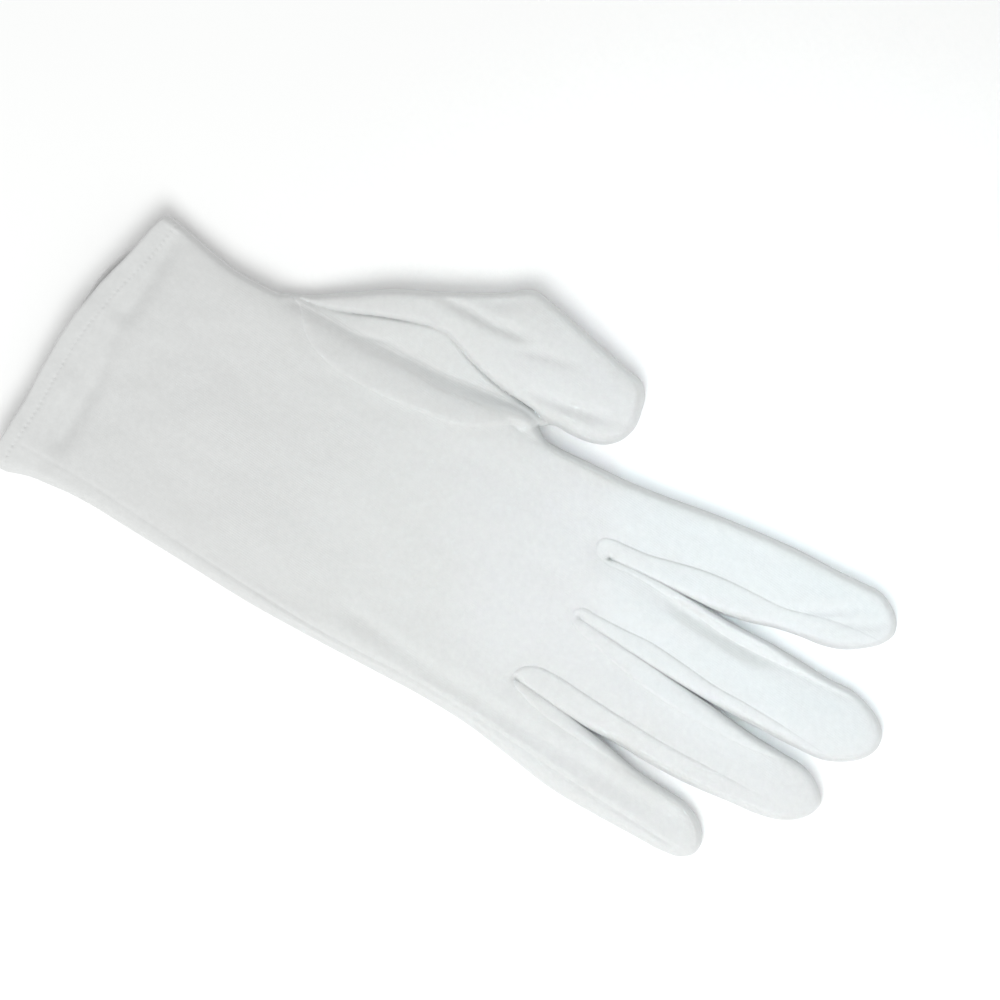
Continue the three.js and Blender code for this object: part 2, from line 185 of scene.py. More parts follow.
class GloveColourSettings(bpy.types.PropertyGroup):
    """Colours of the cotton and of the floor"""

    cotton: bpy.props.FloatVectorProperty(
        name="Cotton", default=(0.67, 0.675, 0.673), size=3, subtype="COLOR",
        description="Colour of the cotton",
    )
    thread: bpy.props.FloatVectorProperty(
        name="Thread", default=(0.68, 0.69, 0.68), size=3, subtype="COLOR",
        description="Colour of the sewing thread",
    )
    floor: bpy.props.FloatVectorProperty(
        name="Floor", default=(0.98, 0.98, 0.98), size=3, subtype="COLOR",
        description="Colour of the floor",
    )


# Lines in the plan


def smooth_line(points, step=1.0):
    """A smooth curve through the points, resampled at about the given step in millimetres."""
    p = np.array(points, float)
    t = np.concatenate([[0], np.cumsum(np.hypot(*np.diff(p, axis=0).T))])
    tangent = np.gradient(p, t, axis=0)
    out = [p[0]]
    for i in range(len(p) - 1):
        span = t[i + 1] - t[i]
        count = max(1, round(span / step))
        for s in np.arange(1, count + 1) / count:
            out.append(
                p[i] * (1 + 2 * s) * (1 - s) ** 2
                + p[i + 1] * s**2 * (3 - 2 * s)
                + tangent[i] * span * s * (1 - s) ** 2
                - tangent[i + 1] * span * s**2 * (1 - s)
            )
    return np.array(out)


def run_of(line):
    """How far along the line each of its points lies."""
    return np.concatenate([[0], np.cumsum(np.hypot(*np.diff(line, axis=0).T))])


def distance_to(points, line, chunk=4000):
    """Distance of each point from a line, and how far along the line the nearest place is."""
    a, b = line[:-1], line[1:]
    run = b - a
    length = np.hypot(run[:, 0], run[:, 1])
    start = run_of(line)
    nearest = np.empty(len(points))
    along = np.empty(len(points))
    for i in range(0, len(points), chunk):
        rel = points[i : i + chunk, None, :] - a[None]
        share = np.clip((rel * run).sum(2) / length**2, 0, 1)
        gap = rel - share[..., None] * run
        far = np.hypot(gap[..., 0], gap[..., 1])
        best = far.argmin(1)
        rows = np.arange(len(best))
        nearest[i : i + chunk] = far[rows, best]
        along[i : i + chunk] = start[best] + share[rows, best] * length[best]
    return nearest, along


def inside(points, polygon, chunk=8000):
    """Which points lie inside a closed polygon."""
    a = polygon
    b = np.roll(polygon, -1, axis=0)
    out = np.zeros(len(points), bool)
    for i in range(0, len(points), chunk):
        x, y = points[i : i + chunk, 0, None], points[i : i + chunk, 1, None]
        crosses = (a[:, 1] > y) != (b[:, 1] > y)
        with np.errstate(divide="ignore", invalid="ignore"):
            at = (b[:, 0] - a[:, 0]) * (y - a[:, 1]) / (b[:, 1] - a[:, 1]) + a[:, 0]
        out[i : i + chunk] = (crosses & (x < at)).sum(1) % 2 == 1
    return out


def hem_edge(table, high=HEM_CORNERS[1], low=HEM_CORNERS[0], count=240, crowding=0.72):
    """A line across the wrist, from the thumb's side to the little finger's. The table says where it lies
    along the glove, and its points crowd at both ends."""
    share = np.linspace(1, -1, count)
    share = (1 - crowding) * share + crowding * np.sin(share * np.pi / 2)
    y = (high[1] + low[1]) / 2 + (high[1] - low[1]) / 2 * share
    line = np.column_stack([np.interp(y, *zip(*table)), y])
    line[0], line[-1] = high, low
    return line


def hem_line():
    """The line on which the hem is stitched down, as many points as its folded edge."""
    line = hem_edge(HEM_EDGE, WRIST_SIDE[-1], LITTLE_SIDE[0])
    line[1:-1, 0] += np.interp(line[1:-1, 1], *zip(*HEM_WIDTH))
    return line


SIDES = (LITTLE_SIDE, RING_SIDE, MIDDLE_SIDE, INDEX_SIDE, THUMB_SIDE, WRIST_SIDE)
OUTLINE = [smooth_line(side) for side in SIDES]
ROUND_THE_HAND = [part[:-1] for part in OUTLINE]
SILHOUETTE = np.concatenate([HEM_CORNERS[:1], *ROUND_THE_HAND, OUTLINE[-1][-1:], HEM_CORNERS[1:]])
HEM_LINE = hem_line()
CLOSED = np.concatenate([*ROUND_THE_HAND, HEM_LINE[:-1]])
LINES = {
    "thumb": smooth_line(THUMB_SEAM),
    "back_thumb": smooth_line(BACK_THUMB_SEAM),
    "valley": smooth_line(VALLEY),
    "lip": smooth_line(LIP),
    "outer": smooth_line(OUTER_SEAM),
    "fourchette_ring_little": smooth_line(RING_LITTLE_SEAM),
    "fourchette_middle_ring": smooth_line(MIDDLE_RING_SEAM),
    "fourchette_index_middle": smooth_line(INDEX_MIDDLE_SEAM),
}
STRIPS = ("fourchette_ring_little", "fourchette_middle_ring", "fourchette_index_middle")
# How far along the silhouette the crotches between the fingers lie.
CROTCHES = [run_of(SILHOUETTE)[np.hypot(*(SILHOUETTE - part[-1]).T).argmin()] for part in OUTLINE[:3]]


# The shape of the cloth


# Heights of the upper cloth, read along the glove: over the hand, in the valley between palm and thumb, at
# the foot of the thumb's fold and on the thumb.
HAND_TOP = [
    (-6, 9.8), (4, 9.3), (10, 8.6), (24, 8.8), (60, 9.3), (100, 9.6), (135, 9.2), (160, 8.3),
    (200, 7.8), (250, 7.2),
]
VALLEY_FLOOR = [(40, 6.8), (48, 6.3), (60, 6.0), (80, 5.7), (96, 5.4), (108, 5.5), (114, 6.2), (120, 6.4)]
LIP_FOOT = [
    (40, 6.8), (48, 5.6), (60, 5.0), (70, 5.9), (80, 6.7), (90, 6.0), (100, 5.1), (110, 5.0),
    (124, 4.8),
]
THUMB_TOP = [(40, 6.4), (46, 6.8), (52, 8.0), (60, 9.2), (75, 10.2), (100, 10.6), (125, 10.2), (145, 9.2)]
# How close to the valley the palm dips into it, what share of the dip is gentle, and how many times wider
# that share runs.
VALLEY_REACH = [(44, 2.2), (56, 3.0), (96, 3.2), (106, 2.4), (114, 1.5), (121, 1.2)]
GENTLE_SHARE = 0.42
GENTLE_REACH = 2.2
# How deep the gusset sags past the valley, and over how long a run.
GUSSET_SAG = 1.0
GUSSET_RUN = 1.8

# How cloth rises behind a folded edge. The first part is tight, read along the glove, the one behind it is
# soft, and the share is that of the tight part. The thumb's own fold is tighter.
FOLD_RUN = [(-6, 3.2), (10, 2.4), (40, 2.1), (100, 2.4), (250, 2.3)]
CROWN_RUN = 10.0
FOLD_SHARE = 0.8
THUMB_FOLD_RUN = 0.9
THUMB_CROWN_RUN = 8.5
THUMB_FOLD_SHARE = 0.42
# How soon the under cloth comes down from the fold, and how far off the table it lies.
UNDER_RUN = 2.0
TABLE_GAP = 0.15
# How far from each crotch the fingers still lie against each other, how steeply that ends, how high their
# edges are pressed up there, and how much less in the crotch's very corner.
TOUCHING = (34.0, 54.0, 42.0)
PARTING = 1.7
PRESSED_FOLD = 7.5
CROTCH_DIP = (0.3, 0.2, 0.6)
CORNER_WIDTH = 1.3

# How deep the cloth is tucked in along the valley and under the thumb's fold, read along the glove, how
# wide the tucks are and what share of the second is left on the thumb.
VALLEY_TUCK = [(44, 0.2), (55, 0.3), (83, 0.4), (92, 0.3), (104, 0.2), (113, 0.0)]
LIP_TUCK = [
    (44, 0.2), (54, 0.5), (61, 1.2), (71, 1.2), (78, 0.7), (84, 0.2), (91, 0.6), (98, 1.3), (113, 1.4),
    (124, 0.4),
]
TUCK_WIDTH = 1.2
LIP_TUCK_WIDTH = 0.5
TUCK_ON_THUMB = 0.35
# How far in from the silhouette the creases, the ripples and the seams have their full depth.
CREASE_MARGIN = 3.0
RIPPLE_MARGIN = 6.0
SEAM_MARGIN = 0.6

# How much of the outer seam's depth is left, read along the glove, and of a strip's seams, read from its
# crotch towards the thumb and, below 0, away from it.
OUTER_SHARE = [(2, 0.3), (60, 0.45), (95, 1.0), (220, 0.85)]
STRIP_SHARE = [
    (-95, 0.25), (-60, 0.4), (-8, 0.55), (0, 0.8), (5, 1.0), (45, 1.0), (66, 0.4), (80, 0.2),
    (95, 0.12),
]

# A seam's groove, as widths beside it and shares of the seam depth: the narrow groove, the low ridge beside
# the outer seam, and a strip's seam, steep on the strip's own side and gentle outside.
SEAM_REACH = 12.0
GROOVE = 0.5
RIDGE = 0.35
RIDGE_PLACE = 1.2
RIDGE_WIDTH = 0.7
STRIP_DEPTH = 1.9
STRIP_RUN = 3.2
UNDER_DEPTH = 1.2
# The thumb piece stands a step above the palm, with a low dip before it.
STEP = 1.3
STEP_REACH = 14.0
STEP_RISE = 0.7
STEP_RUN = 6.0
STEP_DIP = 0.4
STEP_DIP_PLACE = 1.5
STEP_DIP_WIDTH = 1.4
# The dimples of the hem's stitches, and what is left of their depth between two stitches.
DIMPLE = 1.15
DIMPLE_REACH = 2.0
DIMPLE_WIDTH = 0.42
DIMPLE_GROUND = 0.12
# How unevenly the thread pulls, in turns a millimetre and as shares of the depth of the seams, the thumb's
# step and the dimples.
PUCKER = 0.42
SEAM_PUCKER = 0.35
STEP_PUCKER = 0.4
DIMPLE_PUCKER = 0.6
# The cloth's unevenness: broad and fine swells in turns a millimetre, along and across the glove, and the
# share of the fine ones.
BROAD_SWELL = (0.035, 0.06)
FINE_SWELL = (0.13, 0.17)
FINE_SHARE = 0.35

# Soft creases: a line in the plan, its half width and its depth, raised where negative. They fade over a
# run at both ends, down to a share.
CREASE_FADE = 7.0
CREASE_END = 0.25
CREASES = [
    # along the outer seam
    ([(100, -22.2), (120, -22.7), (135, -23.2), (152, -23.0), (180, -22.2), (197, -21.5), (216, -20)],
     2.1, 0.75),
    ([(98, -27.6), (130, -27.6), (160, -26.4), (190, -25.6)], 2.2, -0.4),
    # behind the hem
    ([(5.0, 41), (5.8, 31), (6.2, 20), (6.4, 6)], 3.3, 2.3),
    ([(6.4, 10), (7.8, -2), (9.6, -12)], 3.3, 1.1),
    ([(9.6, -6), (10.4, -20), (11.0, -34)], 3.3, 2.0),
    ([(4, -7), (4.6, -22)], 2.4, -0.6),
    # on the thumb
    ([(74, 64.6), (80, 65.4), (86, 66.1), (94, 66.9), (105, 69.2)], 1.6, 1.7),
    ([(80, 71), (90, 74), (97, 78)], 4.4, 1.9),
    ([(103, 64.2), (110, 67.2), (120, 69.9)], 1.4, 0.8),
    ([(111, 56.7), (118, 57.8), (126, 59.9), (138, 63.6)], 1.7, 1.5),
    ([(118, 54.9), (129, 56.6), (138, 60)], 1.9, -0.5),
    # on the gusset and at its end
    ([(72, 58.6), (76, 59.3), (80, 59.0), (84.5, 57.5)], 0.7, 0.5),
    ([(62, 42.2), (67, 44.3), (73, 46.6), (80, 46.6)], 0.7, 0.35),
    ([(108.5, 47.6), (112, 46.7), (118, 46.2), (124, 46.6), (130, 46.6)], 0.9, 0.6),
    ([(111.5, 49.4), (115.5, 49.6), (119.5, 48.8)], 1.5, -0.9),
    # on the fingers
    ([(176, 29.8), (189, 30.2), (200, 30.5), (213, 31.8)], 2.8, 2.4),
    ([(190, 29.9), (205, 31.0), (220, 33.0), (238, 35.8)], 1.1, 0.45),
    ([(233, 21), (238, 27), (240, 33)], 2.5, 0.3),
    ([(210, 47.8), (216, 51.8), (223, 57.2)], 1.4, 1.3),
    ([(219.5, 50.4), (226, 53.8), (232, 58.2)], 1.4, 0.9),
    ([(148, 36.6), (154, 38.8), (161, 40.6)], 1.5, 0.3),
    # on the palm
    ([(128, 20), (152, 17.5), (176, 16)], 3.0, 0.3),
    ([(58, 28.4), (72, 28.0), (92, 30.6)], 2.2, 0.25),
    ([(112, 36.6), (126, 37.2), (140, 35.6)], 1.3, 0.15),
    ([(85, -26.8), (115, -24.8)], 2.2, 0.25),
]


def bell(distance, width):
    """A smooth rise to 1 where the distance is 0, next to nothing two widths away."""
    return np.exp(-((distance / width) ** 2))


def eased(share):
    """A share from 0 to 1, with a soft start and end."""
    return share * share * (3 - 2 * share)


def quarter_round(share):
    """A quarter circle's rise, from 0 at share 0 to 1 at share 1."""
    left = 1 - np.clip(share, 0, 1)
    return np.sqrt(1 - left * left)


def folded(distance, tight, soft=CROWN_RUN, share=FOLD_SHARE):
    """How far cloth has risen some way in from a folded edge."""
    return share * quarter_round(distance / tight) + (1 - share) * quarter_round(distance / soft)


def creases_at(points):
    """How far the soft creases lower the cloth."""
    depth = np.zeros(len(points))
    for line, width, amount in CREASES:
        line = smooth_line(line)
        away, along = distance_to(points, line)
        ends = np.clip(np.minimum(along, run_of(line)[-1] - along) / CREASE_FADE, 0, 1)
        depth += amount * bell(away, width) * (CREASE_END + (1 - CREASE_END) * eased(ends))
    return depth


def swell_at(points, turns, seed):
    """Swells of one size over the cloth, between -1 and 1."""
    return np.array([noise.noise(Vector((x * turns[0], y * turns[1], seed))) for x, y in points])


def ripples_at(points):
    """Soft unevenness of the cloth."""
    return swell_at(points, BROAD_SWELL, seed=4.3) + FINE_SHARE * swell_at(points, FINE_SWELL, seed=9.1)


def pucker_at(along, seed=(1.7, 2.9)):
    """Small pulls of the thread, along a seam, between -1 and 1."""
    return np.array([noise.noise(Vector((s * PUCKER, *seed))) for s in along])


def along_glove(table, points):
    """A table's value, read along the glove."""
    return np.interp(points[:, 0], *zip(*table))


def fold_height(along, cloth):
    """Height of the folded edge, some way along the silhouette. Between the fingers it is pressed up."""
    fold = cloth.fold / MM
    share = np.zeros(len(along))
    for crotch, reach, dip in zip(CROTCHES, TOUCHING, CROTCH_DIP):
        away = np.abs(along - crotch)
        near = np.clip(PARTING - PARTING * away / reach, 0, 1)
        share = np.maximum(share, eased(near) * (1 - dip * bell(away, CORNER_WIDTH)))
    return fold + (PRESSED_FOLD - fold) * share


def outer_groove(points, away):
    """The outer seam's groove, with a low ridge beside it."""
    ridge = RIDGE * bell(away - RIDGE_PLACE, RIDGE_WIDTH)
    return along_glove(OUTER_SHARE, points) * (bell(away, GROOVE) - ridge)


def strip_groove(points, line, away, along):
    """The groove of a side strip's seam, steep on the strip and gentle outside."""
    share = np.interp(along - run_of(line)[line[:, 0].argmin()], *zip(*STRIP_SHARE))
    steep, gentle = np.clip(1 - away / GROOVE, 0, 1), np.exp(-away / STRIP_RUN)
    return STRIP_DEPTH * share * np.where(inside(points, line), steep, gentle)


def thumb_step(points, away):
    """How the thumb piece stands above the palm along its seam."""
    over = (1 - np.exp(-away / STEP_RISE)) * bell(away, STEP_RUN)
    beside = -STEP_DIP * bell(away - STEP_DIP_PLACE, STEP_DIP_WIDTH)
    return STEP * np.where(inside(points, np.concatenate([LINES["thumb"], FAR_ROUND_THUMB])), over, beside)


def hem_dimples(away, along, pitch):
    """The holes that the hem's stitches pull into the cloth."""
    pulled = (0.5 + 0.5 * np.cos(2 * math.pi * along / pitch)) ** 2
    return DIMPLE * bell(away, DIMPLE_WIDTH) * (DIMPLE_GROUND + (1 - DIMPLE_GROUND) * pulled)


def seams_at(points, cloth):
    """How far the seams and their stitches lower the cloth."""
    depth = np.zeros(len(points))
    for name in ("outer", *STRIPS):
        line = LINES[name]
        away, along = distance_to(points, line)
        near = away < SEAM_REACH
        beside = points[near]
        if name == "outer":
            groove = outer_groove(beside, away[near])
        else:
            groove = strip_groove(beside, line, away[near], along[near])
        depth[near] += groove * (1 + SEAM_PUCKER * pucker_at(along[near]))
    away, along = distance_to(points, LINES["thumb"])
    near = away < STEP_REACH
    depth[near] -= thumb_step(points[near], away[near]) * (1 + STEP_PUCKER * pucker_at(along[near]))
    away, along = distance_to(points, HEM_LINE)
    near = away < DIMPLE_REACH
    dimples = hem_dimples(away[near], along[near], cloth.stitch / MM)
    depth[near] += dimples * (1 + DIMPLE_PUCKER * pucker_at(along[near]))
    return cloth.seam / MM * depth


def upper_height(points, cloth):
    """Height of the upper cloth's outer face, in millimetres."""
    edge, along = distance_to(points, SILHOUETTE)
    valley, _ = distance_to(points, LINES["valley"])
    lip, _ = distance_to(points, LINES["lip"])
    tables = (HAND_TOP, VALLEY_FLOOR, LIP_FOOT, THUMB_TOP)
    top, floor, foot, crown = (along_glove(table, points) for table in tables)
    over_thumb = inside(points, np.concatenate([LINES["lip"], FAR_ROUND_THUMB]))
    past_valley = inside(points, np.concatenate([LINES["valley"], FAR_ROUND_THUMB])) & ~over_thumb
    reach = along_glove(VALLEY_REACH, points)
    dip = (1 - GENTLE_SHARE) * bell(valley, reach) + GENTLE_SHARE * bell(valley, reach * GENTLE_REACH)
    palm = top - (top - floor) * dip
    share = valley / (valley + lip + TINY)
    gusset = floor + (foot - floor) * eased(share)
    gusset -= GUSSET_SAG * (1 - np.exp(-valley / GUSSET_RUN)) * (1 - share) ** 2
    thumb = foot + (crown - foot) * folded(lip, THUMB_FOLD_RUN, THUMB_CROWN_RUN, THUMB_FOLD_SHARE)
    level = np.where(over_thumb, thumb, np.where(past_valley, gusset, palm))
    level -= along_glove(VALLEY_TUCK, points) * bell(valley, TUCK_WIDTH)
    tucked = along_glove(LIP_TUCK, points) * bell(lip, LIP_TUCK_WIDTH)
    level -= np.where(over_thumb, TUCK_ON_THUMB, 1) * tucked
    level -= creases_at(points) * np.clip(edge / CREASE_MARGIN, 0, 1)
    level += cloth.ripple / MM * ripples_at(points) * np.clip(edge / RIPPLE_MARGIN, 0, 1)
    fold = fold_height(along, cloth)
    risen = folded(edge, along_glove(FOLD_RUN, points))
    return fold + (level - fold) * risen - seams_at(points, cloth) * np.clip(edge / SEAM_MARGIN, 0, 1)


def under_height(points, cloth):
    """Height of the under cloth's outer face, which lies on the table."""
    edge, along = distance_to(points, SILHOUETTE)
    fold = fold_height(along, cloth)
    level = np.full(len(points), TABLE_GAP)
    for name in ("back_thumb", *STRIPS):
        away, _ = distance_to(points, LINES[name])
        level += UNDER_DEPTH * cloth.seam / MM * bell(away, GROOVE)
    return fold - (fold - level) * quarter_round(edge / UNDER_RUN)


# How far from the silhouette, from a seam, from the lip and from a seam of the under cloth the rows of
# vertices beside it lie.
FOLD_ROWS = (0.12, 0.42, 0.9, 1.5, 2.2, 3.1)
SEAM_ROWS = (0.35, 0.75, 1.3, 2.0)
LIP_ROWS = (0.2, 0.42, 0.7, 1.1, 1.6, 2.2)
UNDER_ROWS = (0.5,)
# How clear of others the vertices beside the silhouette and beside a seam are kept, and those over flat cloth
# as a share of their spacing, and how clear of the silhouette all of them are.
FOLD_CLEARANCE = 0.28
SEAM_CLEARANCE = 0.17
FLAT_CLEARANCE = 0.62
EDGE_CLEARANCE = 0.1
MEETING = 1e-5  # points as close as this are one to the triangulation
UNDER_COARSER = 2  # how many times wider the under cloth's vertices are spaced


def rows_beside(line, offsets):
    """Points beside a line, at the given distances on both sides."""
    run = np.gradient(line, axis=0)
    run /= np.hypot(run[:, 0], run[:, 1])[:, None]
    side = np.column_stack([-run[:, 1], run[:, 0]])
    return np.concatenate([line + side * o * sign for o in offsets for sign in (1, -1)])


def thinned(groups, cell=0.5):
    """The points of each group in turn that keep clear of those already taken. A group holds its points and
    the clearance that they need."""
    taken = {}
    kept = []
    for points, clearance in groups:
        reach = math.ceil(clearance / cell)
        for x, y in points:
            i, j = math.floor(x / cell), math.floor(y / cell)
            near = (
                q
                for di in range(-reach, reach + 1)
                for dj in range(-reach, reach + 1)
                for q in taken.get((i + di, j + dj), ())
            )
            if all((q[0] - x) ** 2 + (q[1] - y) ** 2 >= clearance**2 for q in near):
                taken.setdefault((i, j), []).append((x, y))
                kept.append((x, y))
    return np.array(kept)


def chained(lines):
    """Pairs of neighbours in each line, numbered on from line to line. The first line closes."""
    pairs = []
    first = 0
    for line in lines:
        last = first + len(line) - 1
        pairs += [(i, i + 1) for i in range(first, last)]
        if first == 0:
            pairs.append((last, first))
        first = last + 1
    return pairs


def flat_grid(grain):
    """Points in a triangular grid over the whole plan."""
    low, high = CLOSED.min(0), CLOSED.max(0)
    rows = np.arange(low[1], high[1], grain * math.sqrt(3) / 2)
    columns = np.arange(low[0], high[0], grain)
    return np.array([(x + grain / 2 * (j % 2), y) for j, y in enumerate(rows) for x in columns])


def triangulated(lines, grain):
    """Triangles over the whole plan, whose edges follow the outline and the given lines. Each line comes
    with the distances of the rows of points beside it."""
    fixed = [CLOSED] + [line for line, _ in lines]
    fixed_points = np.concatenate(fixed)
    seams = (*lines, (HEM_LINE, SEAM_ROWS))
    seam_points = np.concatenate([rows_beside(line, rows) for line, rows in seams])
    groups = [(fixed_points, 0.0)]
    for points, clearance in (
        (rows_beside(SILHOUETTE, FOLD_ROWS), FOLD_CLEARANCE),
        (seam_points, SEAM_CLEARANCE),
        (flat_grid(grain), FLAT_CLEARANCE * grain),
    ):
        points = points[inside(points, CLOSED)]
        edge, _ = distance_to(points, SILHOUETTE)
        groups.append((points[edge > EDGE_CLEARANCE], clearance))
    points = np.concatenate([fixed_points, thinned(groups)[len(fixed_points) :]])
    verts, _, faces, _, _, _ = delaunay_2d_cdt([Vector(p) for p in points], chained(fixed), [], 0, MEETING)
    verts = np.array([tuple(v) for v in verts])
    faces = np.array([f for f in faces if len(f) == 3])
    faces = faces[inside(verts[faces].mean(1), CLOSED)]
    return verts, faces


def labelled(verts, faces, thumb_line):
    """The piece that each triangle belongs to."""
    middle = verts[faces].mean(1)
    names = np.full(len(faces), "trank", dtype=object)
    names[inside(middle, np.concatenate([LINES[thumb_line], FAR_ROUND_THUMB]))] = "thumb"
    for name in STRIPS:
        names[inside(middle, LINES[name])] = name
    return names


SKIN = {}  # the skins already made, by their settings


def skin(cloth):
    """The outer face of the whole glove, as {piece: (vertices, triangles)}, in millimetres."""
    key = (cloth.grain, cloth.fold, cloth.seam, cloth.ripple, cloth.stitch)
    if key in SKIN:
        return SKIN[key]
    grain = cloth.grain / MM
    upper_lines = [(LINES[name], SEAM_ROWS) for name in ("thumb", "outer", "valley", *STRIPS)]
    upper_lines.append((LINES["lip"], LIP_ROWS))
    under_lines = [(LINES[name], UNDER_ROWS) for name in ("back_thumb", *STRIPS)]
    sheets = [
        (upper_lines, grain, upper_height, "thumb", False),
        (under_lines, UNDER_COARSER * grain, under_height, "back_thumb", True),
    ]
    pieces = {}
    for lines, size, height, thumb_line, turned in sheets:
        verts, faces = triangulated(lines, size)
        names = labelled(verts, faces, thumb_line)
        shaped = np.column_stack([verts, height(verts, cloth)])
        if turned:
            faces = faces[:, ::-1]
        for name in ("trank", "thumb", *STRIPS):
            chosen = faces[names == name]
            used, back = np.unique(chosen, return_inverse=True)
            pieces.setdefault(name, []).append((shaped[used], back.reshape(chosen.shape)))
    SKIN[key] = {name: welded(parts) for name, parts in pieces.items()}
    return SKIN[key]


def welded(parts, tolerance=0.004):
    """The parts as one mesh, with vertices that lie together made one."""
    verts = np.concatenate([v for v, _ in parts])
    shift = np.cumsum([0] + [len(v) for v, _ in parts[:-1]])
    faces = np.concatenate([f + s for (_, f), s in zip(parts, shift)])
    keys = np.round(verts / tolerance).astype(np.int64)
    _, first, back = np.unique(keys, axis=0, return_index=True, return_inverse=True)
    faces = back.reshape(-1)[faces]
    good = (faces[:, 0] != faces[:, 1]) & (faces[:, 1] != faces[:, 2]) & (faces[:, 2] != faces[:, 0])
    return verts[first], faces[good]


def with_thickness(verts, faces, thickness):
    """The outer face, given an inner face and rims along its open edges, and the rims' sharp edges."""
    corners = verts[faces]
    normal = np.cross(corners[:, 1] - corners[:, 0], corners[:, 2] - corners[:, 0])
    at_vertex = np.zeros_like(verts)
    for k in range(3):
        np.add.at(at_vertex, faces[:, k], normal)
    at_vertex /= np.maximum(np.linalg.norm(at_vertex, axis=1), TINY)[:, None]
    inner = verts - at_vertex * thickness
    count = len(verts)
    edges = {e for a, b, c in faces.tolist() for e in ((a, b), (b, c), (c, a))}
    border = [(a, b) for a, b in edges if (b, a) not in edges]
    rims = [(b, a, a + count, b + count) for a, b in border]
    sharp = border + [(a + count, b + count) for a, b in border]
    faces = faces.tolist() + (faces[:, ::-1] + count).tolist() + rims
    return np.concatenate([verts, inner]), faces, sharp


def origin():
    """Where the plan's zero lies in the frame, in metres."""
    low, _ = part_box("cuff_hem")
    return np.array([low[0] - WRIST_CORNER[0] * MM, low[1] - WRIST_CORNER[1] * MM, 0.0])


def add_piece(name, verts, faces, sharp, material):
    """A new smooth object, from millimetres in the plan. Its sharp edges come as pairs of vertices."""
    mesh = bpy.data.meshes.new(name)
    mesh.from_pydata((np.asarray(verts) * MM + origin()).tolist(), [], [tuple(f) for f in faces])
    mesh.shade_smooth()
    sharp = {tuple(sorted(pair)) for pair in sharp}
    for edge in mesh.edges:
        if tuple(sorted(edge.vertices)) in sharp:
            edge.use_edge_sharp = True
    mesh.materials.append(material)
    piece = bpy.data.objects.new(name, mesh)
    bpy.context.scene.collection.objects.link(piece)
    return piece


# Finishes


def node(tree, kind, place, **inputs):
    """A new shader node with its inputs set by name, with spaces as underscores."""
    made = tree.nodes.new(kind)
    made.location = place
    for key, value in inputs.items():
        made.inputs[key.replace("_", " ")].default_value = value
    return made


# Darkest and palest part of the mottled cotton and of the floor, as shares of the colour.
COTTON_TINTS = (0.955, 1.02)
FLOOR_TINTS = (0.995, 1.0)
# A wave texture's pitch at scale 1, how much closer the knit's courses lie than its wales, how strongly the
# knit shows in the relief, and the relief's height in metres.
WAVE_PITCH = 0.314
COURSE_SHARE = 0.8
KNIT_SHARE = 0.55
NAP_HEIGHT = 0.00016


def tinted(colour, share):
    """A colour made darker or paler."""
    return (*[min(1, c * share) for c in colour], 1)


def cotton_material(name, colour, wale=0.62, bump=0.3):
    """Fine white interlock cotton: wales along the glove, soft mottling and a napped surface."""
    material = bpy.data.materials.new(name)
    material.use_nodes = True
    tree = material.node_tree
    tree.nodes.clear()
    out = node(tree, "ShaderNodeOutputMaterial", (900, 0))
    shader = node(tree, "ShaderNodeBsdfPrincipled", (600, 0), Roughness=0.92)
    shader.inputs["Sheen Weight"].default_value = 0.25
    shader.inputs["Sheen Roughness"].default_value = 0.6
    shader.inputs["Specular IOR Level"].default_value = 0.25
    where = node(tree, "ShaderNodeTexCoord", (-1200, 0))
    scale = node(tree, "ShaderNodeMapping", (-1000, 0), Scale=(1 / MM, 1 / MM, 1 / MM))
    links = tree.links
    links.new(where.outputs["Object"], scale.inputs["Vector"])
    mottle = node(tree, "ShaderNodeTexNoise", (-700, 300), Scale=0.55, Detail=5.0, Roughness=0.65)
    nap = node(tree, "ShaderNodeTexNoise", (-700, 0), Scale=2.6, Detail=3.0, Roughness=0.7)
    pitch = WAVE_PITCH / wale
    wales = node(tree, "ShaderNodeTexWave", (-700, -300), Scale=pitch, Distortion=0.8, Detail=1.0)
    wales.inputs["Detail Scale"].default_value = 1.4
    wales.bands_direction = "Y"
    pitch /= COURSE_SHARE
    courses = node(tree, "ShaderNodeTexWave", (-700, -600), Scale=pitch, Distortion=0.9, Detail=1.0)
    courses.bands_direction = "X"
    for texture in (mottle, nap, wales, courses):
        links.new(scale.outputs["Vector"], texture.inputs["Vector"])
    tint = node(tree, "ShaderNodeValToRGB", (-400, 300))
    for stop, place, share in zip(tint.color_ramp.elements, (0.3, 0.7), COTTON_TINTS):
        stop.position = place
        stop.color = tinted(colour, share)
    links.new(mottle.outputs["Fac"], tint.inputs["Fac"])
    links.new(tint.outputs["Color"], shader.inputs["Base Color"])
    knit = node(tree, "ShaderNodeMath", (-400, -350))
    knit.operation = "MULTIPLY"
    links.new(wales.outputs["Fac"], knit.inputs[0])
    links.new(courses.outputs["Fac"], knit.inputs[1])
    relief = node(tree, "ShaderNodeMath", (-200, -250))
    relief.operation = "MULTIPLY_ADD"
    relief.inputs[1].default_value = KNIT_SHARE
    links.new(knit.outputs["Value"], relief.inputs[0])
    links.new(nap.outputs["Fac"], relief.inputs[2])
    raised = node(tree, "ShaderNodeBump", (300, -250), Strength=bump, Distance=NAP_HEIGHT)
    links.new(relief.outputs["Value"], raised.inputs["Height"])
    links.new(raised.outputs["Normal"], shader.inputs["Normal"])
    links.new(shader.outputs["BSDF"], out.inputs["Surface"])
    return material


